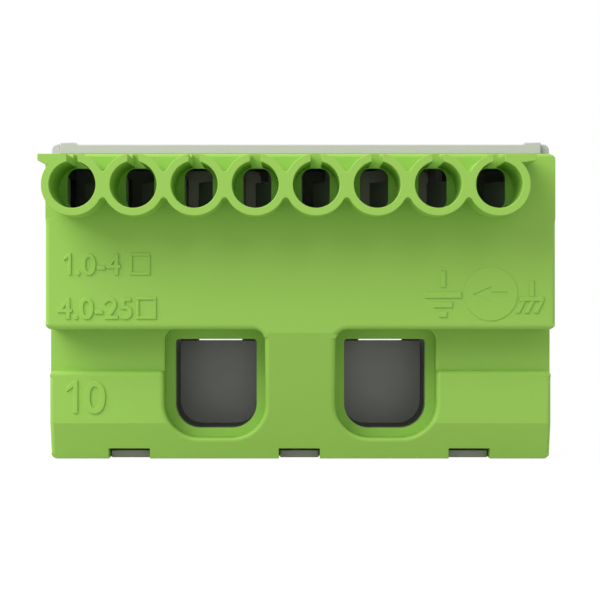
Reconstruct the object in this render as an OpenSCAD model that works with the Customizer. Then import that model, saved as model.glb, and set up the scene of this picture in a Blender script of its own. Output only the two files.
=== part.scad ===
// Earth terminal bar: a two-part moulded block with eight push-in inlets along
// the top and two rising-cage screw clamps below, joined inside by one brass bar.
// Seen from the front (from -Y) the inlets face the viewer and +Z is up.
// Origin: middle of the base, halfway between the inlet mouths and the back.

/* [Body] */
// Width that the block has beyond its inlet chambers, both ends together
ends_w = 4; // [3.6:0.1:6]
// Distance from the inlet mouths to the back face
body_d = 25; // [24:0.5:28]
// Height of the front cover's face
cover_h = 33.9; // [33.6:0.05:34]
// Height of the rear housing at its ends
housing_h = 35.38; // [35.2:0.02:35.6]
// Thickness of the moulded walls
wall = 1.2; // [1:0.05:1.4]
// Radius of the block's corners seen from the front
corner_r = 0.7; // [0.5:0.05:1]

/* [Inlets] */
// Number of push-in inlets
inlets = 8; // [8:8]
// Distance between neighbouring inlets
pitch = 6.5; // [6.4:0.05:7]
// How far the row of inlets sits left of the middle
row_shift = 1.55; // [1:0.05:1.6]
// Height of the inlet centres
inlet_z = 30.15; // [30:0.05:30.3]
// Radius of the round inlet bore
inlet_r = 2.5; // [2.3:0.05:2.6]
// Thickness of the inlet's ring
ring_t = 0.84; // [0.8:0.02:0.95]
// Height at which the rings are cut flat
ring_h = 33.42; // [33.2:0.02:33.48]
// How far the rings stand out of the upper face
ring_out = 6; // [5:0.25:6.5]
// Width of the release slot in the top of each ring
slot_w = 1.16; // [0.9:0.02:1.3]

/* [Clamp ports] */
// Distance of each port from the middle
port_x = 9.55; // [9.4:0.05:10]
// Width of the port opening
port_w = 9.2; // [9:0.1:9.3]
// Bottom of the port opening
port_z0 = 3.34; // [3.3:0.02:3.5]
// Top of the port opening
port_z1 = 13.42; // [13.3:0.02:13.5]
// Width of the recess round the port
frame_w = 11.3; // [11.2:0.02:11.5]
// Travel of the rising cage
cage_travel = 9; // [6:0.5:9]

/* [Clamp screws] */
// Radius of the clamp screw's shank
screw_r = 2.5; // [2.3:0.05:2.6]
// Radius of the clamp screw's head
head_r = 3.5; // [3.3:0.05:3.6]

/* [Hidden] */
$fn = 48;
e = 0.01;

// width across both ends, from the row of chambers
body_w = inlets * pitch + ends_w;
first_x = -(inlets - 1) * pitch / 2 - row_shift;

// planes of the block, from front to back
front_y = -body_d / 2;
face_y = front_y + ring_out;
back_y = body_d / 2;
join_low_y = 2;
join_top_y = -1.5;
join_z = 29;
rim_y = -4;
rim_h = 34.1;
half_w = body_w / 2;
ring_r = inlet_r + ring_t;

// lower half of the front
upper_z0 = 14.6;
break_z = 14.25;
foot_y = -1.6;
block_y = -3;
block_z1 = 9.95;
recess_y = -1.9;
sole_t = 1.17;
edge_r = 0.6;
top_edge_r = 0.4;

// inlet details
bore_depth = 8.5;
bore_end_y = front_y + bore_depth;
slot_end_y = bore_end_y;
socket_end_y = bore_end_y + 0.6;
hole_w = 3.15;
hole_h = 4.6;
hole_r = 1.15;
web_h = 1.38;
web_x = 2.2;
web_in_h = 1.9;
lip_t = 0.71;
left_lip_taper = 0.45;
right_lip_taper = 0.2;
right_lip_w = 3.94;

// clamp details
port_y = 0.2;
port_wall = 1;
port_low_r = 2.8;
frame_z0 = 2.4;
frame_z1 = upper_z0;
frame_low_r = 3.9;
frame_top_r = 1.25;
centre_half_w = port_x - frame_w / 2 + frame_top_r;
cage_t = 1;
cage_half_w = port_w / 2 + cage_t;
cage_y0 = 2.6;
cage_back_y = 9;
cage_y1 = 9.9;
cage_in_z = 3.3;
cage_plate_z = 13.08;
collar_z = 18.3;
collar_h = 3;
screw_y = 6.1;
run_gap = 0.05;
head_gap = 0.2;
head_h = 2.4;
driver_slot_w = 1;
driver_slot_l = 4.4;

// brass bar
bar_z0 = 26.7;
bar_z1 = 27.9;
bar_y0 = -2.4;
bar_y1 = 1.2;
flag_y0 = 1.3;
flag_y1 = 2.3;
flag_w = 10.2;
flag_z = 32.6;
flag_r = 0.95;
tongue_z = 13.6;
tongue_t = 1.2;
tongue_r = 1;
tongue_y1 = 8.6;
tongue_w = 8.6;

// guide ribs of the housing and walls between the inlet chambers
guide_gap = 0.25;
rib_t = 0.9;
rest_in = 3;
rest_z = upper_z0 + 4;
guide_front_z = upper_z0 + 2;
chamber_t = 0.8;
chamber_half_w = pitch / 2 - chamber_t / 2;
lug_gap = 0.6;
contact_t = 0.8;
contact_h = 3.6;
spring_t = 0.35;
spring_h = 3.2;
spring_bend_r = 0.55;
spring_gap = 0.05;
spring_tip_x = -0.15;

// notches in the sole and the lugs behind them
notch_pitch = 19.1;
notch_shift = -0.12;
notch_places = [for (i = [-1 : 1]) notch_shift + i * notch_pitch];
notch_w = 4.6;
lug_y = 0;
lug_h = 0.85;

// rear windows behind the ports
window_w = 5.2;
window_z0 = 12.6;
window_z1 = 17.5;

// label strip in its channel on the top
strip_end = 1.04;
strip_gap = 0.12;
strip_half_w = half_w - strip_end;
strip_z = housing_h - 0.11;
strip_tab_z = housing_h + 0.12;
strip_tab_w = 2.03;
strip_y0 = -2.4;
strip_y1 = 2.2;
strip_z0 = housing_h - 1.2;
top_in_z = housing_h - 2.18;

function inlet_x(i) = first_x + pitch * i;

// the sloping plane of the lower front, as y for a height z and back
function slope_y(z) = foot_y + (face_y - foot_y) * z / break_z;
function slope_z(y) = (y - foot_y) * break_z / (face_y - foot_y);

// a shape drawn in X and Z, given depth along Y
module along_y(y0, y1) {
    translate([0, y1, 0]) rotate([90, 0, 0]) linear_extrude(y1 - y0) children();
}

// a shape drawn in Y and Z, given width along X
module along_x(x0, x1) {
    translate([x0, 0, 0]) rotate([90, 0, 90]) linear_extrude(x1 - x0) children();
}

module box(x0, x1, y0, y1, z0, z1) {
    translate([x0, y0, z0]) cube([x1 - x0, y1 - y0, z1 - z0]);
}

// rectangle with one radius at its lower corners and one at its upper corners
module rounded_rect(x0, x1, z0, z1, r0, r1) {
    translate([x0, z0 + r0]) square([x1 - x0, z1 - r1 - z0 - r0]);
    translate([x0 + r0, z0]) square([x1 - x0 - 2 * r0, r0 + e]);
    translate([x0 + r1, z1 - r1 - e]) square([x1 - x0 - 2 * r1, r1 + e]);
    for (x = [x0 + r0, x1 - r0]) translate([x, z0 + r0]) circle(r0);
    for (x = [x0 + r1, x1 - r1]) translate([x, z1 - r1]) circle(r1);
}

// Front cover

// outline of the block seen from the front, up to height h
module block_outline(h) {
    rounded_rect(-half_w, half_w, 0, h, corner_r, corner_r);
}

module cover_outside() {
    intersection() {
        along_y(face_y, join_low_y) block_outline(cover_h);
        union() {
            // upper face with its rounded edges and corners
            intersection() {
                along_x(-half_w, half_w)
                    rounded_rect(face_y, back_y, upper_z0, cover_h, edge_r, top_edge_r);
                along_y(face_y, recess_y + e)
                    rounded_rect(-half_w, half_w, upper_z0, cover_h, corner_r, corner_r);
            }
            // sloping middle between the two ports
            along_x(-centre_half_w, centre_half_w) polygon([
                [face_y, upper_z0 + edge_r + e], [face_y, break_z], [foot_y, 0],
                [join_low_y, 0], [join_low_y, upper_z0 + edge_r + e]
            ]);
            // block across the foot, its outer parts standing below a recess
            intersection() {
                along_x(-half_w, half_w) {
                    polygon([
                        [block_y, block_z1 - edge_r], [block_y, slope_z(block_y)], [foot_y, 0],
                        [join_low_y, 0], [join_low_y, block_z1], [block_y + edge_r, block_z1]
                    ]);
                    translate([block_y + edge_r, block_z1 - edge_r]) circle(edge_r);
                }
                along_y(block_y, recess_y + e)
                    rounded_rect(-half_w, half_w, 0, block_z1, corner_r, edge_r);
            }
            // wall at the back of the recess, down to the foot
            along_x(-half_w, half_w) polygon([
                [recess_y, cover_h], [recess_y, slope_z(recess_y)], [foot_y, 0],
                [join_low_y, 0], [join_low_y, cover_h]
            ]);
        }
    }
    // raised rim behind the rings
    intersection() {
        along_y(rim_y, join_top_y) block_outline(rim_h);
        box(-half_w, half_w, rim_y, join_top_y, join_z, rim_h);
    }
    lips();
}

// thin wing beside a ring, out to x_end, its underside rising towards the end
module lip(x, x_end, taper) {
    x_in = x + sign(x_end - x) * (ring_r - 0.65);
    along_y(front_y, face_y + e) polygon([
        [x_end, ring_h - lip_t], [x_in, ring_h - lip_t - taper],
        [x, ring_h - lip_t - taper], [x, ring_h], [x_end, ring_h]
    ]);
}

module lips() {
    last = inlet_x(inlets - 1);
    lip(inlet_x(0), -half_w, left_lip_taper);
    lip(last, last + right_lip_w, right_lip_taper);
}

// rings seen from the front: circles joined by small webs with a pointed middle
module ring_row() {
    intersection() {
        union() {
            for (i = [0 : inlets - 1]) translate([inlet_x(i), inlet_z]) circle(ring_r);
            for (i = [0 : inlets - 2]) translate([inlet_x(i), inlet_z]) polygon([
                [web_x, web_in_h], [web_x, -web_in_h], [pitch / 2, -web_h],
                [pitch - web_x, -web_in_h], [pitch - web_x, web_in_h], [pitch / 2, web_h]
            ]);
        }
        translate([-half_w, 0]) square([body_w, ring_h]);
    }
}

// inside of the cover, a wall's thickness from the outside
module cover_inside() {
    y1 = join_low_y + e;
    box(-half_w + wall, half_w - wall, face_y + wall, y1, upper_z0 + wall, cover_h - wall);
    box(-half_w + wall, half_w - wall, recess_y + wall, y1, sole_t, upper_z0 + wall + e);
    along_x(-centre_half_w + wall, centre_half_w - wall) polygon([
        [slope_y(sole_t) + wall, sole_t], [face_y + wall, break_z],
        [face_y + wall, upper_z0 + wall + e], [y1, upper_z0 + wall + e], [y1, sole_t]
    ]);
}

// the cover stops further forward above join_z, where the housing takes over
module cover_top_cut() {
    box(-half_w - 1, half_w + 1, join_top_y, back_y, join_z, housing_h + 1);
}

module port_boss(s) {
    x = s * port_x;
    w = frame_w / 2 + 1;
    intersection() {
        cover_outside();
        along_y(face_y, port_y + port_wall)
            rounded_rect(x - w, x + w, frame_z0 - 1, frame_z1 + 1, frame_low_r + 1, frame_top_r);
    }
}

module port_cut(s) {
    x = s * port_x;
    along_y(front_y, port_y)
        rounded_rect(x - frame_w / 2, x + frame_w / 2, frame_z0, frame_z1, frame_low_r, frame_top_r);
    along_y(port_y - e, port_y + port_wall + e)
        rounded_rect(x - port_w / 2, x + port_w / 2, port_z0, port_z1, port_low_r, 0.4);
}

// walls between the inlet chambers, behind the sockets
module chamber_walls() {
    for (i = [0 : inlets]) {
        x = inlet_x(i) - pitch / 2;
        x0 = max(x - chamber_t / 2, -half_w + e);
        box(x0, x + chamber_t / 2, face_y + wall - e, bar_y1, bar_z1 + 0.05, cover_h - wall + e);
    }
}

module inlet_cuts() {
    for (i = [0 : inlets - 1]) translate([inlet_x(i), 0, 0]) {
        translate([0, bore_end_y, inlet_z]) rotate([90, 0, 0])
            cylinder(r = inlet_r, h = bore_end_y - front_y + 1, $fn = 64);
        along_y(bore_end_y - e, socket_end_y + e)
            rounded_rect(-hole_w / 2, hole_w / 2, inlet_z - hole_h / 2, inlet_z + hole_h / 2, hole_r, hole_r);
        box(-slot_w / 2, slot_w / 2, front_y - 1, slot_end_y, inlet_z, rim_h + 1);
    }
}

module front_cover() color("#8fc24f") {
    difference() {
        union() {
            difference() {
                cover_outside();
                cover_inside();
            }
            along_y(front_y, socket_end_y) ring_row();
            chamber_walls();
            for (s = [-1, 1]) port_boss(s);
        }
        cover_top_cut();
        inlet_cuts();
        for (s = [-1, 1]) port_cut(s);
        for (x = notch_places)
            box(x - notch_w / 2, x + notch_w / 2, front_y, join_low_y + e, -e, sole_t);
    }
}

// Rear housing

module housing_shell() {
    difference() {
        union() {
            along_y(join_low_y, back_y) block_outline(housing_h);
            intersection() {
                along_y(join_top_y, join_low_y + e) block_outline(housing_h);
                box(-half_w, half_w, join_top_y, join_low_y + e, join_z, housing_h);
            }
        }
        box(-half_w + wall, half_w - wall, join_top_y - e, back_y - wall, sole_t, top_in_z);
    }
}

// side walls for the cages and, further forward, rests for the brass bar
module guide_ribs() {
    x_in = port_x - cage_half_w - guide_gap - rib_t / 2;
    x_out = port_x + cage_half_w + guide_gap + rib_t / 2;
    for (x = [-x_out, -x_in, x_in, x_out]) {
        box(x - rib_t / 2, x + rib_t / 2, cage_y0, back_y - wall + e, sole_t - e, top_in_z + e);
        box(x - rib_t / 2, x + rib_t / 2, bar_y0, cage_y0 + e, guide_front_z, bar_z0);
    }
    for (x = [-half_w + rest_in, half_w - rest_in])
        box(x - rib_t / 2, x + rib_t / 2, bar_y0, back_y - wall + e, rest_z, bar_z0);
}

module rear_housing() color("#c6c9c2") {
    difference() {
        union() {
            housing_shell();
            guide_ribs();
            for (x = notch_places)
                box(x - notch_w / 2 + 0.1, x + notch_w / 2 - 0.1, lug_y, join_low_y + 1, 0, lug_h);
        }
        // channel for the label strip
        box(-strip_half_w - strip_gap, strip_half_w + strip_gap, join_top_y - e, strip_y1 + 0.05,
            strip_z0, housing_h + e);
        for (s = [-1, 1]) {
            // screwdriver holes over the clamp screws
            translate([s * port_x, screw_y, top_in_z - e]) cylinder(r = head_r - 0.4, h = housing_h - top_in_z + 1);
            // windows in the back
            along_y(back_y - wall - e, back_y + e)
                rounded_rect(s * port_x - window_w / 2, s * port_x + window_w / 2, window_z0, window_z1, 0.6, 0.6);
        }
    }
}

// Label strip

module label_strip() color("#cfd1ca") {
    box(-strip_half_w, strip_half_w, strip_y0, strip_y1, strip_z0, strip_z);
    along_y(strip_y0, strip_y1) for (s = [-1, 1]) polygon([
        [s * strip_half_w, strip_z - e], [s * strip_half_w, strip_tab_z],
        [s * (strip_half_w - strip_tab_w + 0.23), strip_tab_z],
        [s * (strip_half_w - strip_tab_w), strip_z - e]
    ]);
}

// Brass bar

module busbar() color("#b9b4a6") {
    lug_x = chamber_half_w - lug_gap;
    box(inlet_x(0) - lug_x, inlet_x(inlets - 1) + chamber_half_w, bar_y0, bar_y1, bar_z0, bar_z1);
    // contact faces, one beside each conductor
    for (i = [0 : inlets - 1]) translate([inlet_x(i) - lug_x, 0, 0])
        box(0, contact_t, bar_y0, bar_y1, bar_z1 - e, bar_z1 + contact_h);
    for (s = [-1, 1]) {
        x = s * port_x;
        // upright plate that stops the conductors and leads down to the clamp
        along_y(flag_y0, flag_y1)
            rounded_rect(x - flag_w / 2, x + flag_w / 2, tongue_z, flag_z, e, flag_r);
        box(x - flag_w / 2, x + flag_w / 2, bar_y1 - e, flag_y0 + e, bar_z0, bar_z1);
        // tongue that the cage pulls the conductor against, its lower edges bent clear of the cage
        along_y(flag_y0, tongue_y1)
            rounded_rect(x - tongue_w / 2, x + tongue_w / 2, tongue_z, tongue_z + tongue_t, tongue_r, 0.1);
    }
}

// Push-in springs

// one leaf bent in plan: a leg along the chamber wall, a bend at the front and
// a clamping leg that slopes back across the conductor's way
module spring(i) color("#8d9094") {
    bend_x = chamber_half_w - spring_gap - spring_bend_r;
    bend_y = bar_y0 + spring_t;
    end_y = bar_y1 - spring_gap * 3;
    leg_x = bend_x - spring_bend_r + spring_t / 2;
    leg = [spring_tip_x, end_y] - [leg_x, bend_y];
    translate([inlet_x(i), 0, bar_z1 + spring_gap]) linear_extrude(spring_h) {
        translate([bend_x + spring_bend_r - spring_t, bend_y]) square([spring_t, end_y - bend_y]);
        translate([bend_x, bend_y]) difference() {
            circle(spring_bend_r);
            circle(spring_bend_r - spring_t);
            translate([-spring_bend_r, 0]) square([2 * spring_bend_r, spring_bend_r]);
        }
        translate([leg_x, bend_y]) {
            circle(spring_t / 2);
            rotate(atan2(leg[1], leg[0])) translate([0, -spring_t / 2]) square([norm(leg), spring_t]);
        }
    }
}

module spring_1() spring(0);
module spring_2() spring(1);
module spring_3() spring(2);
module spring_4() spring(3);
module spring_5() spring(4);
module spring_6() spring(5);
module spring_7() spring(6);
module spring_8() spring(7);

// Rising cages and their screws

module cage(s) color("#8b8c88") {
    x = s * port_x;
    w = cage_half_w;
    z1 = collar_z + collar_h;
    difference() {
        along_y(cage_y0, cage_y1)
            rounded_rect(x - w, x + w, cage_in_z - cage_t, z1, port_low_r - 0.1 + cage_t, 0.6);
        // way in for the conductor, closed at the back by the plate
        along_y(cage_y0 - e, cage_back_y)
            rounded_rect(x - port_w / 2, x + port_w / 2, cage_in_z, collar_z, port_low_r - 0.1, 0.3);
        box(x - port_w / 2, x + port_w / 2, cage_back_y - e, cage_y1 + e, cage_plate_z, collar_z);
        translate([x, screw_y, collar_z - e]) cylinder(r = screw_r + run_gap, h = collar_h + 2 * e, $fn = 64);
    }
}

module cage_left() cage(-1);
module cage_right() cage(1);

module clamp_screw(s) color("#a9a8a0") {
    z0 = tongue_z + tongue_t + run_gap;
    z1 = top_in_z - head_gap;
    tip = screw_r / 5;
    w = driver_slot_w / 2;
    translate([s * port_x, screw_y, 0]) difference() {
        union() {
            translate([0, 0, z0 + tip]) cylinder(r = screw_r, h = z1 - head_h - z0 - tip + e, $fn = 64);
            translate([0, 0, z0]) cylinder(r1 = screw_r - tip, r2 = screw_r, h = tip, $fn = 64);
            translate([0, 0, z1 - head_h]) cylinder(r = head_r, h = head_h, $fn = 64);
        }
        // combined cross and straight recess
        box(-head_r - 1, head_r + 1, -w, w, z1 - head_h / 2, z1 + 1);
        box(-w, w, -driver_slot_l / 2, driver_slot_l / 2, z1 - head_h / 2, z1 + 1);
    }
}

module screw_left() clamp_screw(-1);
module screw_right() clamp_screw(1);

front_cover();
rear_housing();
label_strip();
busbar();
spring_1();
spring_2();
spring_3();
spring_4();
spring_5();
spring_6();
spring_7();
spring_8();
cage_left();
cage_right();
screw_left();
screw_right();
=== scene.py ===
"""Earth terminal bar: finishes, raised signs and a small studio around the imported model."""
import math

import bmesh
import bpy
from bpy.props import (
    FloatProperty, FloatVectorProperty, IntProperty, PointerProperty, StringProperty)
from mathutils import Matrix, Vector


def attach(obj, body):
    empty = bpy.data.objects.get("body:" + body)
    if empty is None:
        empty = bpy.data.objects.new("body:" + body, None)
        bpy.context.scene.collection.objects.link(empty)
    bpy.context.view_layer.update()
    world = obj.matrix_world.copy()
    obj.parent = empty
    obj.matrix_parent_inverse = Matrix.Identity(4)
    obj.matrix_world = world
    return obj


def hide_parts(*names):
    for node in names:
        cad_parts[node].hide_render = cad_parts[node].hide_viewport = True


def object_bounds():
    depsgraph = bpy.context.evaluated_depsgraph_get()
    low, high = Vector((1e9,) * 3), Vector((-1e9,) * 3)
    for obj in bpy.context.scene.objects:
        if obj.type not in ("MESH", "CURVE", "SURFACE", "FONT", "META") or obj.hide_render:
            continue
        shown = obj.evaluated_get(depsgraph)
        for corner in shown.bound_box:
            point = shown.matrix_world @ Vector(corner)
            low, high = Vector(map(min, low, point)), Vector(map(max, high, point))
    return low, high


bl_info = {
    "name": "Earth terminal bar",
    "version": (1, 0, 0),
    "blender": (4, 5, 0),
    "location": "View3D > Sidebar > Terminal",
    "description": "Finishes, raised signs and a studio for an earth terminal bar",
    "category": "Add Mesh",
}

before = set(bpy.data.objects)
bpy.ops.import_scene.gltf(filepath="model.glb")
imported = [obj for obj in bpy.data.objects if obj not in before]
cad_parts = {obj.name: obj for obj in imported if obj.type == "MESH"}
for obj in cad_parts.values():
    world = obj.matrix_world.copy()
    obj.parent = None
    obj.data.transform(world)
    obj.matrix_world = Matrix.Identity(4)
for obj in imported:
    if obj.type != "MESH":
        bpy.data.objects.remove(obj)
CAD_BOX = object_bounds()
MM = 0.001

# Planes and levels of the front cover, in millimetres. The cover is as wide as the whole part,
# and the mouths of its inlets are the front of the part.
HALF_WIDTH = CAD_BOX[1].x / MM
MOUTH_Y = CAD_BOX[0].y / MM
# the face under the inlets, and the two lower blocks at its ends
FACE_Y = MOUTH_Y + 6.0
BLOCK_Y = MOUTH_Y + 9.5
# just in front of the inner ends of the inlets' round bores
BORE_END_Y = MOUTH_Y + 8.4
# the hollow of the cover, between its sole and its top
HOLLOW_FOOT = 1.3
HOLLOW_TOP = 33.0
# the tops of the lower blocks
BLOCK_TOP = 9.95
# the line along which the face bends back, just below the heads of the port recesses
BEND_Z = 14.25
# the thickness of its walls
WALL = 1.2

# Where the cover is rounded, in millimetres: edges this close to a side belong to it, and their
# rounding ends below the rings and leaves a gap below the block tops
SIDE_STRIP = 0.8
SIDE_END = 26.4
BLOCK_GAP = 0.7
# share of the rim radius on the outer sides of the ports above the blocks, where it has less room
OUTER_SHARE = 0.6

# The recess round each clamp port, in millimetres. The ports lie in front of the rising cages.
CAGE_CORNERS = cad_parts["cage_right"].bound_box
PORT_X = (CAGE_CORNERS[0][0] + CAGE_CORNERS[6][0]) / 2 / MM
PORT_HALF_WIDTH = 5.65
PORT_FOOT = 2.4
PORT_HEAD = 14.6
FOOT_RADIUS = 3.9
HEAD_RADIUS = 1.25
# its rims all lie in front of this plane
RIM_BACK_Y = MOUTH_Y + 12.6

# Places of the raised signs on the front, in millimetres, with X to the right and Z up: where a
# number or the frame sign starts on the left, the middle of the earth sign's foot, and the
# centre of the round plate
INLET_SIZES_AT = (-25.95, 20.58)
PORT_SIZES_AT = (-26.67, 15.75)
WAYS_AT = (-26.1, 5.18)
EARTH_SIGN_AT = (15.67, 15.94)
POINTER_AT = (20.9, 18.52)
FRAME_SIGN_AT = (24.1, 16.4)

# Angles between two faces, in degrees: below the first their edge is shaded smooth, and above
# the second it is rounded
SMOOTH_BELOW = 15
ROUNDED_ABOVE = 30
# Number of corners above which a face is split, so that its rounding doesn't fold it over
CROWDED_ABOVE = 100


def linear(code):
    """Turn an sRGB hex value into a linear colour with alpha."""
    values = [int(code[i:i + 2], 16) / 255 for i in (1, 3, 5)]
    return [v / 12.92 if v <= 0.04045 else ((v + 0.055) / 1.055) ** 2.4 for v in values] + [1.0]


def colour(name, description, code):
    """A colour property with an sRGB hex default."""
    return FloatVectorProperty(
        name=name, description=description, subtype="COLOR", size=4, min=0, max=1,
        default=linear(code))


def length(name, description, millimetres):
    """A length property with a default in millimetres."""
    return FloatProperty(
        name=name, description=description, subtype="DISTANCE", unit="LENGTH", min=0,
        default=millimetres * MM, precision=5)


# Sizes and colours that a user would change

class MouldingSettings(bpy.types.PropertyGroup):
    """Colours and edges of the two mouldings and the label strip."""
    green: colour("Green", "Colour of the front cover", "#9ECF58")
    grey: colour("Grey", "Colour of the rear housing", "#CCCBC8")
    strip: colour("Strip", "Colour of the label strip", "#CDCACB")
    rim: length("Rim radius", "Radius on the rims of the clamp ports", 0.5)
    side: length("Side radius", "Radius on the upright side edges of the cover", 0.45)
    fine: length("Fine radius", "Radius on all other edges of the cover", 0.06)
    housing_edge: length("Housing radius", "Radius on the edges of the rear housing", 0.12)
    # a real grain is well under 0.1 mm, which is too fine to show, so it is drawn coarser
    grain: length("Grain", "Size of one grain of the spark-eroded mould texture", 0.16)


class MetalSettings(bpy.types.PropertyGroup):
    """Colours and edges of the metal inside."""
    cage: colour("Cage", "Colour of the zinc-plated cages", "#7A7B77")
    bar: colour("Bar", "Colour of the tinned brass bar", "#76766A")
    spring: colour("Spring", "Colour of the stainless springs", "#B4B6B4")
    screw: colour("Screw", "Colour of the clamp screws", "#B3B2AC")
    edge: length("Edge radius", "Radius on the edges of the metal parts", 0.05)
    # real rolling marks are a few hundredths of a millimetre apart, so these are drawn coarser
    streak: length("Rolling streaks", "Spacing of the rolling marks in the metal", 0.12)


class SignSettings(bpy.types.PropertyGroup):
    """Raised numbers and signs on the front cover."""
    inlet_sizes: StringProperty(
        name="Inlet sizes", description="Conductor sizes that the inlets take", default="1.0-4")
    port_sizes: StringProperty(
        name="Port sizes", description="Conductor sizes that the ports take", default="4.0-25")
    ways: StringProperty(name="Ways", description="Number of connections", default="10")
    rise: length("Rise", "How far the signs stand out of the face", 0.16)
    small_height: length("Small height", "Height of the size numbers", 2.4)
    large_height: length("Large height", "Height of the number of ways", 3.66)
    stroke: length("Stroke", "Width of the strokes of the hollow squares", 0.3)
    steps: IntProperty(name="Circle steps", description="Steps round the plate", default=96, min=12)


class StudioSettings(bpy.types.PropertyGroup):
    """Camera and light."""
    distance: length("Distance", "From the camera to the inlet mouths", 190)
    view_width: length("View width", "Width of the picture at the inlet mouths", 63.84)
    eye_x: FloatProperty(
        name="Eye X", description="Sideways place of the camera", subtype="DISTANCE",
        unit="LENGTH", default=-0.04 * MM, precision=5)
    eye_z: length("Eye height", "Height of the camera above the base", 17.84)
    key_power: FloatProperty(
        name="Key power", description="Power of the key lamp", unit="POWER", min=0, default=3.2)
    key_size: length("Key size", "Width of the key lamp", 500)
    key_place: FloatVectorProperty(
        name="Key place", description="From the middle of the block to the key lamp",
        subtype="TRANSLATION", unit="LENGTH", default=(-0.36, -0.27, 0.4))
    sky: FloatProperty(
        name="Sky", description="Strength of the even light all round", min=0, default=0.58)
    paper: colour("Paper", "Colour of the floor", "#C2C2C0")


def settings(name):
    """The scene's settings of one group."""
    return getattr(bpy.context.scene, "terminal_" + name)


# Materials

def add_node(tree, kind, inputs=None, **values):
    """Add one node, set its properties, and set or link its inputs."""
    node = tree.nodes.new(kind)
    for name, value in values.items():
        setattr(node, name, value)
    for socket, value in (inputs or {}).items():
        if isinstance(value, bpy.types.NodeSocket):
            tree.links.new(value, node.inputs[socket])
        else:
            node.inputs[socket].default_value = value
    return node


def new_material(name):
    """An empty node material with its output."""
    material = bpy.data.materials.new(name)
    material.use_nodes = True
    tree = material.node_tree
    tree.nodes.clear()
    return material, tree, add_node(tree, "ShaderNodeOutputMaterial")


def shades(base, spread):
    """A colour made a little darker and a little lighter."""
    darker = [c * (1 - spread) for c in base[:3]]
    lighter = [min(1.0, c * (1 + spread)) for c in base[:3]]
    return darker + [1.0], lighter + [1.0]


def moulded_plastic(name, base, roughness):
    """Unfilled polycarbonate, injection moulded in a spark-eroded tool: an even colour with a
    soft sheen, very faint flow clouds and a fine grain that breaks the highlights."""
    cloud_size = 9 * MM
    grain_depth = 0.02 * MM
    darker, lighter = shades(base, 0.006)
    material, tree, output = new_material(name)
    place = add_node(tree, "ShaderNodeTexCoord").outputs["Object"]
    flow = add_node(tree, "ShaderNodeTexNoise", {
        "Vector": place, "Scale": 1 / cloud_size, "Detail": 3.0, "Roughness": 0.45})
    tint = add_node(tree, "ShaderNodeMix", {
        "Factor": flow.outputs["Fac"], "A": darker, "B": lighter}, data_type="RGBA")
    grain = add_node(tree, "ShaderNodeTexNoise", {
        "Vector": place, "Scale": 1 / settings("moulding").grain, "Detail": 2.0, "Roughness": 0.6})
    sheen = add_node(tree, "ShaderNodeMapRange", {
        "Value": grain.outputs["Fac"], "To Min": roughness - 0.05, "To Max": roughness + 0.05})
    relief = add_node(tree, "ShaderNodeBump", {
        "Height": grain.outputs["Fac"], "Strength": 0.12, "Distance": grain_depth})
    shader = add_node(tree, "ShaderNodeBsdfPrincipled", {
        "Base Color": tint.outputs["Result"], "Roughness": sheen.outputs["Result"],
        "Normal": relief.outputs["Normal"], "IOR": 1.5, "Specular IOR Level": 0.35})
    tree.links.new(shader.outputs["BSDF"], output.inputs["Surface"])
    return material


def rolled_metal(name, base, roughness, stretch, mottle):
    """Rolled or turned metal with a thin plating: rolling marks stretched along one axis, and
    slightly uneven patches that cloud the reflections."""
    patch_size = 2.5 * MM
    mark_depth = 0.01 * MM
    darker, lighter = shades(base, mottle)
    material, tree, output = new_material(name)
    place = add_node(tree, "ShaderNodeTexCoord").outputs["Object"]
    along = add_node(tree, "ShaderNodeMapping", {"Vector": place, "Scale": stretch})
    marks = add_node(tree, "ShaderNodeTexNoise", {
        "Vector": along.outputs["Vector"], "Scale": 1 / settings("metal").streak,
        "Detail": 3.0, "Roughness": 0.6})
    patches = add_node(tree, "ShaderNodeTexNoise", {
        "Vector": place, "Scale": 1 / patch_size, "Detail": 4.0, "Roughness": 0.5})
    tint = add_node(tree, "ShaderNodeMix", {
        "Factor": patches.outputs["Fac"], "A": darker, "B": lighter}, data_type="RGBA")
    sheen = add_node(tree, "ShaderNodeMapRange", {
        "Value": marks.outputs["Fac"], "To Min": roughness - 0.08, "To Max": roughness + 0.1})
    relief = add_node(tree, "ShaderNodeBump", {
        "Height": marks.outputs["Fac"], "Strength": 0.2, "Distance": mark_depth})
    shader = add_node(tree, "ShaderNodeBsdfPrincipled", {
        "Base Color": tint.outputs["Result"], "Metallic": 1.0,
        "Roughness": sheen.outputs["Result"], "Normal": relief.outputs["Normal"]})
    tree.links.new(shader.outputs["BSDF"], output.inputs["Surface"])
    return material


def green_polycarbonate(name):
    """Bright, slightly yellowish green, the colour of earth terminals, with a matt sheen."""
    return moulded_plastic(name, settings("moulding").green, roughness=0.5)


def grey_polycarbonate(name):
    """Pale grey of the housing, with nearly the same sheen as the cover."""
    return moulded_plastic(name, settings("moulding").grey, roughness=0.48)


def strip_polycarbonate(name):
    """Smoother moulding in nearly the same grey, so that the label strip shines a little more."""
    return moulded_plastic(name, settings("moulding").strip, roughness=0.4)


def zinc_plated_strip(name):
    """Bent steel strip with dull zinc: dark grey, with marks from front to back."""
    return rolled_metal(
        name, settings("metal").cage, roughness=0.5, stretch=(1.0, 0.15, 1.0), mottle=0.06)


def tinned_brass(name):
    """Stamped brass with electroplated tin: greyish with a warm cast, marked along the bar."""
    return rolled_metal(
        name, settings("metal").bar, roughness=0.5, stretch=(0.15, 1.0, 1.0), mottle=0.06)


def rolled_spring_steel(name):
    """Stainless spring strip, tumbled after bending: pale and quite dull, with upright marks."""
    return rolled_metal(
        name, settings("metal").spring, roughness=0.8, stretch=(1.0, 1.0, 0.15), mottle=0.05)


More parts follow.
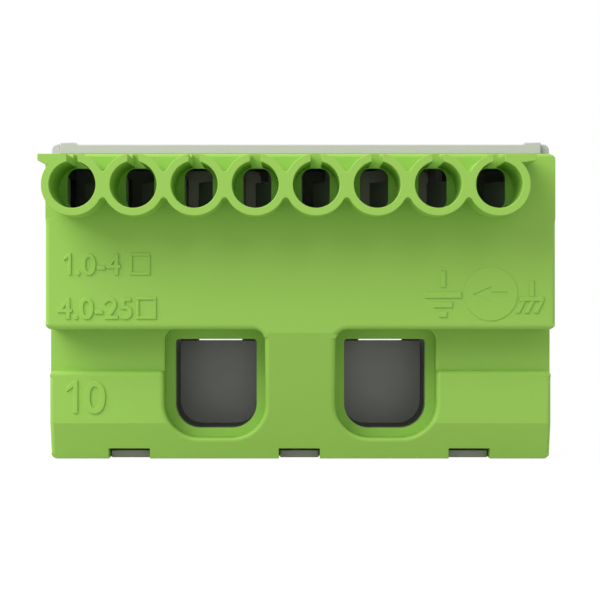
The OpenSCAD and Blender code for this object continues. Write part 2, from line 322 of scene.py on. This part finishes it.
def zinc_plated_screw(name):
    """Turned steel with bright zinc: the shiniest of the metals."""
    return rolled_metal(
        name, settings("metal").screw, roughness=0.3, stretch=(1.0, 1.0, 1.0), mottle=0.08)


# Pieces

def add_object(name, data):
    """Put an object with its data into the scene."""
    made = bpy.data.objects.new(name, data)
    bpy.context.scene.collection.objects.link(made)
    return made


def add_piece(name, mesh, finish, body="block"):
    """Add a finished mesh as a piece that rides on a body of the model. The material has the
    name of the function that makes it, and is made on its first use."""
    material = bpy.data.materials.get(finish.__name__) or finish(finish.__name__)
    mesh.materials.clear()
    mesh.materials.append(material)
    piece = add_object(name, mesh)
    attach(piece, body)
    return piece


def merged_solid(node):
    """A copy of a solid with its loose triangles joined into whole faces."""
    shape = bmesh.new()
    shape.from_mesh(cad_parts[node].data)
    bmesh.ops.remove_doubles(shape, verts=shape.verts, dist=0.002 * MM)
    bmesh.ops.dissolve_degenerate(shape, dist=0.001 * MM, edges=shape.edges)
    bmesh.ops.dissolve_limit(
        shape, angle_limit=math.radians(1), verts=shape.verts, edges=shape.edges)
    return shape


def rounded_copy(
        node, name, finish, fine, body="block", wide=0.0, prepare=None, share=None,
        hidden=None):
    """A copy of a solid in its place, with rounded outer edges. The edges that share picks get
    their share of the wide radius, and the others, except hidden ones, the fine one. Before
    that, prepare changes the mesh where it needs it."""
    shape = merged_solid(node)
    if prepare:
        prepare(shape)
    fine_share = shape.edges.layers.float.new("fine_share")
    wide_share = shape.edges.layers.float.new("wide_share")
    for face in shape.faces:
        face.smooth = True
    for edge in shape.edges:
        bend = math.degrees(edge.calc_face_angle_signed(0.0))
        edge.smooth = abs(bend) < SMOOTH_BELOW
        if bend > ROUNDED_ABOVE:
            edge[wide_share] = share(edge, min(1.0, bend / 90)) if share else 0.0
            unrounded = edge[wide_share] or (hidden and hidden(edge))
            edge[fine_share] = 0.0 if unrounded else 1.0
    crowded = [
        face for face in shape.faces
        if len(face.verts) > CROWDED_ABOVE and not any(edge[wide_share] for edge in face.edges)]
    bmesh.ops.triangulate(shape, faces=crowded)
    mesh = bpy.data.meshes.new(name)
    shape.to_mesh(mesh)
    shape.free()
    piece = add_piece(name, mesh, finish, body)
    if share:
        add_rounding(piece, "wide_share", wide, 5)
    add_rounding(piece, "fine_share", fine, 2)
    piece.modifiers.new("Even shading", "WEIGHTED_NORMAL").keep_sharp = True
    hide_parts(node)
    return piece


def add_rounding(piece, layer, radius, segments):
    """A Bevel modifier of one radius on the edges that a layer of the mesh picks."""
    bevel = piece.modifiers.new(layer, "BEVEL")
    bevel.limit_method = "WEIGHT"
    bevel.edge_weight = layer
    bevel.width = radius
    bevel.segments = segments
    bevel.use_clamp_overlap = False


# Edges of the front cover

def middle(edge):
    """The middle of an edge, in millimetres."""
    return (edge.verts[0].co + edge.verts[1].co) / 2 / MM


def on_port_rim(x, z):
    """Whether a place, in millimetres, lies on the outline of a port's recess."""
    near = 0.02
    across = abs(abs(x) - PORT_X)
    for level, radius, side in ((PORT_FOOT, FOOT_RADIUS, 1), (PORT_HEAD, HEAD_RADIUS, -1)):
        depth = (z - level) * side
        if depth < radius:
            reach = math.hypot(max(0.0, across - PORT_HALF_WIDTH + radius), radius - depth)
            return abs(reach - radius) < near
    return abs(across - PORT_HALF_WIDTH) < near


def cover_share(edge, bend):
    """An edge's share of the cover's wide radius, which its port rims and side edges get. The
    bend is 1 at a right angle."""
    x, y, z = middle(edge)
    walls = [face.normal for face in edge.link_faces if abs(face.normal.y) < 0.05]
    on_rings = y < FACE_Y - 0.1
    if len(walls) != 1 or on_rings:
        return 0.0
    if y < RIM_BACK_Y and on_port_rim(x, z):
        outer = z > BLOCK_TOP and abs(x) > PORT_X
        return OUTER_SHARE * min(1.0, (PORT_HEAD - z) / HEAD_RADIUS) if outer else 1.0
    at_side = abs(x) > HALF_WIDTH - SIDE_STRIP and walls[0].x * x > 0.99 * abs(x)
    at_block_top = BLOCK_TOP - BLOCK_GAP < z < BLOCK_TOP
    square = bend > 0.94
    if square and at_side and z < SIDE_END and not at_block_top:
        return settings("moulding").side / settings("moulding").rim
    return 0.0


def inside_cover(edge):
    """Whether an edge of the cover gets no rounding of its own: it lies behind the inlet bores,
    or where the rounding under the face runs into that of a port."""
    x, y, z = middle(edge)
    inner_head = abs(abs(x) - PORT_X + PORT_HALF_WIDTH - HEAD_RADIUS) < 0.05
    if inner_head and PORT_HEAD - 0.1 < z < PORT_HEAD + 0.7:
        return True
    in_hollow = abs(x) < HALF_WIDTH - SIDE_STRIP and HOLLOW_FOOT < z < HOLLOW_TOP
    return y > BORE_END_Y and in_hollow and not on_port_rim(x, z)


def prepare_cover(shape):
    """Change the cover's mesh where its wide rounding would otherwise cross itself."""
    end_side_rounding(shape)
    bridge_bend(shape)


def end_side_rounding(shape):
    """Cut small faces where the rounding of the sides ends, so that they keep its shading."""
    band = 0.5
    for z in (BLOCK_TOP - BLOCK_GAP, SIDE_END - band, SIDE_END, SIDE_END + band):
        cut_faces(shape, shape.faces[:], (0, 0, z), (0, 0, 1))
    for side in (-1, 1):
        fronts = [face for face in shape.faces if face.normal.y < -0.99]
        picked = [
            face for face in fronts
            if all(abs(vert.co.z / MM - SIDE_END) < band + 0.01
                   or abs(vert.co.y / MM - BLOCK_Y) < 0.01 for vert in face.verts)]
        cut_faces(shape, picked, (side * (HALF_WIDTH - WALL), 0, 0), (1, 0, 0))


def cut_faces(shape, faces, place, direction):
    """Cut some faces of a shape along a plane through a place in millimetres."""
    edges = dict.fromkeys(edge for face in faces for edge in face.edges)
    verts = dict.fromkeys(vert for face in faces for vert in face.verts)
    bmesh.ops.bisect_plane(
        shape, geom=[*verts, *edges, *faces], plane_co=Vector(place) * MM, plane_no=direction)


def bridge_bend(shape):
    """Join the short steps of each port rim just below the bend of the face, so that one longer
    step leads up to it and the rounding doesn't fold there."""
    reach = 0.36
    for side in (-1, 1):
        for inward in (-1, 1):
            rim = [
                vert for vert in shape.verts
                if vert.co.x * side > 0 and (abs(vert.co.x / MM) - PORT_X) * inward > 0
                and vert.co.y / MM < FACE_Y + 0.5 and on_port_rim(vert.co.x / MM, vert.co.z / MM)]
            bend = [vert for vert in rim if abs(vert.co.z / MM - BEND_Z) < 0.01]
            close = [vert for vert in rim if BEND_Z - reach < vert.co.z / MM < BEND_Z - 0.01]
            if bend and close:
                bmesh.ops.weld_verts(shape, targetmap={vert: bend[0] for vert in close})


# Raised signs

class Relief:
    """Signs that stand out of a face of the cover, which looks towards -Y. They are drawn in
    millimetres from a place on that face, with X to the right and Z up."""

    def __init__(self, y_face, rise):
        self.shape = bmesh.new()
        self.y_face = y_face * MM
        self.rise = rise
        # the signs also reach into the face, so that no gap shows
        self.sink = rise / 2
        self.left = 0.0
        self.base = 0.0

    def start_at(self, place):
        """Draw what follows from another place."""
        self.left, self.base = place

    def plate(self, outline, hole=()):
        """Add a plate with the corners of its outline, and of a hole in it. Its outer edges are
        slightly rounded."""
        radius = self.rise * 0.35
        loops = [
            [self.shape.verts.new((
                (self.left + x) * MM, self.y_face + self.sink, (self.base + z) * MM))
             for x, z in corners]
            for corners in (outline, hole) if corners]
        edges = [
            self.shape.edges.new(ends) for loop in loops for ends in zip(loop, loop[1:] + loop[:1])]
        if hole:
            filled = bmesh.ops.triangle_fill(self.shape, edges=edges, use_beauty=True)["geom"]
            faces = [item for item in filled if isinstance(item, bmesh.types.BMFace)]
        else:
            faces = [self.shape.faces.new(loops[0])]
        made = bmesh.ops.extrude_face_region(self.shape, geom=faces)["geom"]
        front = dict.fromkeys(item for item in made if isinstance(item, bmesh.types.BMVert))
        bmesh.ops.translate(self.shape, verts=[*front], vec=(0, -self.rise - self.sink, 0))
        walls = [
            face for vert in front for face in vert.link_faces
            if not all(corner in front for corner in face.verts)]
        rim = dict.fromkeys(
            edge for face in walls for edge in face.edges if all(vert in front for vert in edge.verts))
        bmesh.ops.bevel(
            self.shape, geom=[*rim], offset=radius, segments=2, profile=0.5, affect="EDGES",
            material=-1)

    def bar(self, x0, x1, z0, z1):
        """Add a plate that is an upright rectangle."""
        self.plate([(x0, z0), (x1, z0), (x1, z1), (x0, z1)])

    def square(self, left, width, height, stroke):
        """Add a hollow square, the sign for a cross-section."""
        right = left + width
        self.bar(left, right, 0, stroke)
        self.bar(left, right, height - stroke, height)
        self.bar(left, left + stroke, stroke, height - stroke)
        self.bar(right - stroke, right, stroke, height - stroke)

    def number(self, text, height):
        """Add figures of one height from left to right, and return where they end."""
        end = 0.0
        if text.startswith("1"):
            end = self.figure_one(height)
            text = text[1:]
        return self.figures(text, end, height) if text else end

    def figure_one(self, height):
        """Add a one with a flag, because the font's one is a bare stroke, and return where the
        next figure starts."""
        stem = height * 0.34
        width = height * 0.14
        self.plate([
            (stem, 0), (stem, height), (stem - width * 0.7, height), (0, height * 0.8),
            (0, height * 0.66), (stem - width, height * 0.8), (stem - width, 0)])
        return stem + height * 0.2

    def figures(self, text, left, height):
        """Add figures in the built-in font and return where they end."""
        edge = 0.014
        # a figure's height in the font, with its rounded edges
        font_height = 0.73
        curve = bpy.data.curves.new("Number", "FONT")
        curve.body = text
        curve.extrude = 0.1
        curve.bevel_depth = edge
        curve.bevel_resolution = 1
        holder = add_object("Number", curve)
        view = bpy.context.evaluated_depsgraph_get()
        letters = bpy.data.meshes.new_from_object(holder.evaluated_get(view))
        bpy.data.objects.remove(holder)
        bpy.data.curves.remove(curve)
        xs = [vert.co.x for vert in letters.vertices]
        font_half_depth = max(vert.co.z for vert in letters.vertices)
        half_depth = (self.rise + self.sink) / 2
        scale = height * MM / font_height
        letters.transform(Matrix.Translation((-min(xs), edge, 0)))
        letters.transform(Matrix.Diagonal((scale, scale, half_depth / font_half_depth, 1)))
        letters.transform(Matrix.Rotation(math.radians(90), 4, "X"))
        letters.transform(Matrix.Translation((
            (self.left + left) * MM, self.y_face + self.sink - half_depth, self.base * MM)))
        self.shape.from_mesh(letters)
        bpy.data.meshes.remove(letters)
        return left + (max(xs) - min(xs)) * scale / MM

    def make_piece(self, name):
        """Turn the signs into one green piece."""
        bmesh.ops.remove_doubles(self.shape, verts=self.shape.verts, dist=0.001 * MM)
        bmesh.ops.recalc_face_normals(self.shape, faces=self.shape.faces)
        mesh = bpy.data.meshes.new(name)
        self.shape.to_mesh(mesh)
        self.shape.free()
        add_piece(name, mesh, green_polycarbonate)


# Operators

class TERMINAL_OT_front_cover(bpy.types.Operator):
    """Finish the green front cover."""
    bl_idname = "terminal.front_cover"
    bl_label = "Front cover"

    def execute(self, context):
        plastic = settings("moulding")
        rounded_copy(
            "front_cover", "cover_moulding", green_polycarbonate, plastic.fine,
            wide=plastic.rim, prepare=prepare_cover, share=cover_share, hidden=inside_cover)
        return {"FINISHED"}


class TERMINAL_OT_rear_housing(bpy.types.Operator):
    """Finish the pale grey housing and its label strip."""
    bl_idname = "terminal.rear_housing"
    bl_label = "Rear housing"

    def execute(self, context):
        edge = settings("moulding").housing_edge
        rounded_copy("rear_housing", "housing_moulding", grey_polycarbonate, edge)
        rounded_copy("label_strip", "strip_moulding", strip_polycarbonate, edge)
        return {"FINISHED"}


class TERMINAL_OT_conductors(bpy.types.Operator):
    """Finish the brass bar and the push-in springs."""
    bl_idname = "terminal.conductors"
    bl_label = "Bar and springs"

    def execute(self, context):
        edge = settings("metal").edge
        rounded_copy("busbar", "bar_stamping", tinned_brass, edge)
        for node in sorted(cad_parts):
            if node.startswith("spring_"):
                number = node.split("_")[1]
                rounded_copy(node, "leaf_" + number, rolled_spring_steel, edge)
        return {"FINISHED"}


class TERMINAL_OT_clamps(bpy.types.Operator):
    """Finish the rising cages and their screws."""
    bl_idname = "terminal.clamps"
    bl_label = "Cages and screws"

    def execute(self, context):
        edge = settings("metal").edge
        for side in ("left", "right"):
            rounded_copy(
                "cage_" + side, "cage_strip_" + side, zinc_plated_strip, edge,
                side + "_cage")
            rounded_copy(
                "screw_" + side, "screw_turned_" + side, zinc_plated_screw, edge,
                side + "_screw")
        return {"FINISHED"}


class TERMINAL_OT_signs(bpy.types.Operator):
    """Add the raised numbers and signs to the front cover."""
    bl_idname = "terminal.signs"
    bl_label = "Raised signs"

    def execute(self, context):
        signs = settings("signs")
        self.sizes(signs)
        self.ways(signs)
        self.earth_sign(signs)
        self.pointer(signs)
        self.frame_sign(signs)
        return {"FINISHED"}

    def sizes(self, signs):
        """Conductor sizes, each with the sign for a cross-section after a gap."""
        relief = Relief(FACE_Y, signs.rise)
        height = signs.small_height / MM
        for text, place, gap, width in (
                (signs.inlet_sizes, INLET_SIZES_AT, 1.0, 2.27),
                (signs.port_sizes, PORT_SIZES_AT, 0.45, 2.2)):
            relief.start_at(place)
            end = relief.number(text, height)
            relief.square(end + gap, width, height, signs.stroke / MM)
        relief.make_piece("raised_sizes")

    def ways(self, signs):
        """Number of connections, on the left end block."""
        relief = Relief(BLOCK_Y, signs.rise)
        relief.start_at(WAYS_AT)
        relief.number(signs.ways, signs.large_height / MM)
        relief.make_piece("raised_ways")

    def earth_sign(self, signs):
        """Protective earth: a stem on three bars that get shorter."""
        relief = Relief(FACE_Y, signs.rise)
        relief.start_at(EARTH_SIGN_AT)
        for half_width, foot, top in (
                (0.285, 3.29, 5.1), (1.99, 2.1, 2.79), (1.03, 1.05, 1.68), (0.42, 0, 0.63)):
            relief.bar(-half_width, half_width, foot, top)
        relief.make_piece("raised_earth_sign")

    def pointer(self, signs):
        """Round plate with an arrow cut into it that points at the earth sign."""
        radius = 2.96
        tip, neck, tail = -1.94, 0.05, 1.84
        axis, head, shaft = -0.06, 0.84, 0.27
        turns = [math.tau * i / signs.steps for i in range(signs.steps)]
        disc = [(radius * math.cos(turn), radius * math.sin(turn)) for turn in turns]
        arrow = [
            (tip, axis), (neck, axis - head), (neck, axis - shaft), (tail, axis - shaft),
            (tail, axis + shaft), (neck, axis + shaft), (neck, axis + head)]
        relief = Relief(FACE_Y, signs.rise * 0.6)
        relief.start_at(POINTER_AT)
        relief.plate(disc, hole=arrow)
        relief.make_piece("raised_pointer")

    def frame_sign(self, signs):
        """Frame connection: a stem on a bar with three slanting legs."""
        leg_height = 1.3
        relief = Relief(FACE_Y, signs.rise)
        relief.start_at(FRAME_SIGN_AT)
        relief.bar(1.05, 1.55, 1.8, 3.6)
        relief.bar(0, 2.65, leg_height, 1.8)
        for x in (0, 1, 2):
            relief.plate([
                (x - 0.5, 0), (x - 0.05, 0), (x + 0.6, leg_height), (x + 0.15, leg_height)])
        relief.make_piece("raised_frame_sign")


class TERMINAL_OT_stage(bpy.types.Operator):
    """Set up the camera, the lamp and the white floor."""
    bl_idname = "terminal.stage"
    bl_label = "Studio"

    def execute(self, context):
        studio = settings("studio")
        self.camera(studio)
        self.floor(studio)
        self.sky(studio)
        self.key(studio)
        context.scene.view_settings.view_transform = "Standard"
        return {"FINISHED"}

    def camera(self, studio):
        """Level camera straight in front of the block."""
        data = bpy.data.cameras.new("Camera")
        data.sensor_width = 36
        data.lens = data.sensor_width * studio.distance / studio.view_width
        data.clip_start = 0.01
        camera = add_object("Camera", data)
        camera.location = (studio.eye_x, CAD_BOX[0].y - studio.distance, studio.eye_z)
        camera.rotation_euler = (math.radians(90), 0, 0)
        bpy.context.scene.camera = camera

    def direct_view(self, tree):
        """Light that comes straight, mirrored or through glass to the camera: 1, else 0."""
        rays = add_node(tree, "ShaderNodeLightPath")
        seen = add_node(tree, "ShaderNodeMath", {
            0: rays.outputs["Is Camera Ray"], 1: rays.outputs["Is Glossy Ray"]}, operation="MAXIMUM")
        return add_node(tree, "ShaderNodeMath", {
            0: seen.outputs["Value"], 1: rays.outputs["Is Transmission Ray"]}, operation="MAXIMUM")

    def floor(self, studio):
        """Pale paper floor that keeps a soft shadow and reads as white to the camera."""
        # the floor is a hair below the base, so that the two don't lie in one plane
        gap = 0.02 * MM
        # how far it reaches to each side, in metres
        reach = 3.0
        # of what the camera sees, this share is plain white and the rest carries the shadow
        white_share = 0.93
        shape = bmesh.new()
        bmesh.ops.create_grid(
            shape, x_segments=1, y_segments=1, size=reach, matrix=Matrix.Translation((0, 0, -gap)))
        mesh = bpy.data.meshes.new("Floor")
        shape.to_mesh(mesh)
        shape.free()
        material, tree, output = new_material("white_paper")
        seen = self.direct_view(tree).outputs["Value"]
        tone = add_node(tree, "ShaderNodeMix", {
            "Factor": seen, "A": studio.paper, "B": (1, 1, 1, 1)}, data_type="RGBA")
        paper = add_node(tree, "ShaderNodeBsdfDiffuse", {"Color": tone.outputs["Result"]})
        white = add_node(tree, "ShaderNodeEmission", {"Color": (1, 1, 1, 1), "Strength": 1.03})
        share = add_node(tree, "ShaderNodeMath", {0: seen, 1: white_share}, operation="MULTIPLY")
        mix = add_node(tree, "ShaderNodeMixShader", {
            0: share.outputs["Value"], 1: paper.outputs["BSDF"], 2: white.outputs["Emission"]})
        tree.links.new(mix.outputs["Shader"], output.inputs["Surface"])
        mesh.materials.append(material)
        add_object("Floor", mesh)

    def sky(self, studio):
        """Even light all round, which camera, glossy and transmission rays see as white."""
        world = bpy.data.worlds.new("Sky")
        world.use_nodes = True
        tree = world.node_tree
        tree.nodes.clear()
        plain = add_node(tree, "ShaderNodeBackground", {"Color": (1, 1, 1, 1), "Strength": studio.sky})
        white = add_node(tree, "ShaderNodeBackground", {"Color": (1, 1, 1, 1), "Strength": 1.0})
        mix = add_node(tree, "ShaderNodeMixShader", {
            0: self.direct_view(tree).outputs["Value"], 1: plain.outputs["Background"],
            2: white.outputs["Background"]})
        output = add_node(tree, "ShaderNodeOutputWorld")
        tree.links.new(mix.outputs["Shader"], output.inputs["Surface"])
        bpy.context.scene.world = world

    def key(self, studio):
        """One large soft lamp, high on the left in front of the block."""
        data = bpy.data.lights.new("Key", "AREA")
        data.size = studio.key_size
        data.energy = studio.key_power
        lamp = add_object("Key", data)
        middle_of_block = (CAD_BOX[0] + CAD_BOX[1]) / 2
        lamp.location = middle_of_block + studio.key_place
        lamp.rotation_euler = (-studio.key_place).to_track_quat("-Z", "Y").to_euler()


class TERMINAL_PT_panel(bpy.types.Panel):
    """Lists the pieces of the terminal bar and their settings."""
    bl_label = "Earth terminal bar"
    bl_idname = "TERMINAL_PT_panel"
    bl_space_type = "VIEW_3D"
    bl_region_type = "UI"
    bl_category = "Terminal"

    def draw(self, context):
        for group in GROUPS:
            box = self.layout.box()
            box.label(text=group.capitalize())
            for name in settings(group).bl_rna.properties.keys():
                if name not in ("rna_type", "name"):
                    box.prop(settings(group), name)
        for operator in OPERATORS:
            self.layout.operator(operator.bl_idname)


GROUPS = {
    "moulding": MouldingSettings,
    "metal": MetalSettings,
    "signs": SignSettings,
    "studio": StudioSettings,
}
OPERATORS = (
    TERMINAL_OT_front_cover,
    TERMINAL_OT_rear_housing,
    TERMINAL_OT_conductors,
    TERMINAL_OT_clamps,
    TERMINAL_OT_signs,
    TERMINAL_OT_stage,
)


def register():
    """Add the classes and their settings to Blender."""
    for group in GROUPS.values():
        bpy.utils.register_class(group)
    for operator in OPERATORS:
        bpy.utils.register_class(operator)
    bpy.utils.register_class(TERMINAL_PT_panel)
    for name, group in GROUPS.items():
        setattr(bpy.types.Scene, "terminal_" + name, PointerProperty(type=group))


def unregister():
    """Take the classes and their settings out again."""
    for name in GROUPS:
        delattr(bpy.types.Scene, "terminal_" + name)
    bpy.utils.unregister_class(TERMINAL_PT_panel)
    for operator in reversed(OPERATORS):
        bpy.utils.unregister_class(operator)
    for group in reversed(GROUPS.values()):
        bpy.utils.unregister_class(group)


def main():
    """Make every piece and the studio."""
    register()
    bpy.ops.terminal.stage()
    bpy.ops.terminal.front_cover()
    bpy.ops.terminal.rear_housing()
    bpy.ops.terminal.conductors()
    bpy.ops.terminal.clamps()
    bpy.ops.terminal.signs()
    bpy.context.view_layer.update()


if __name__ == "__main__":
    main()
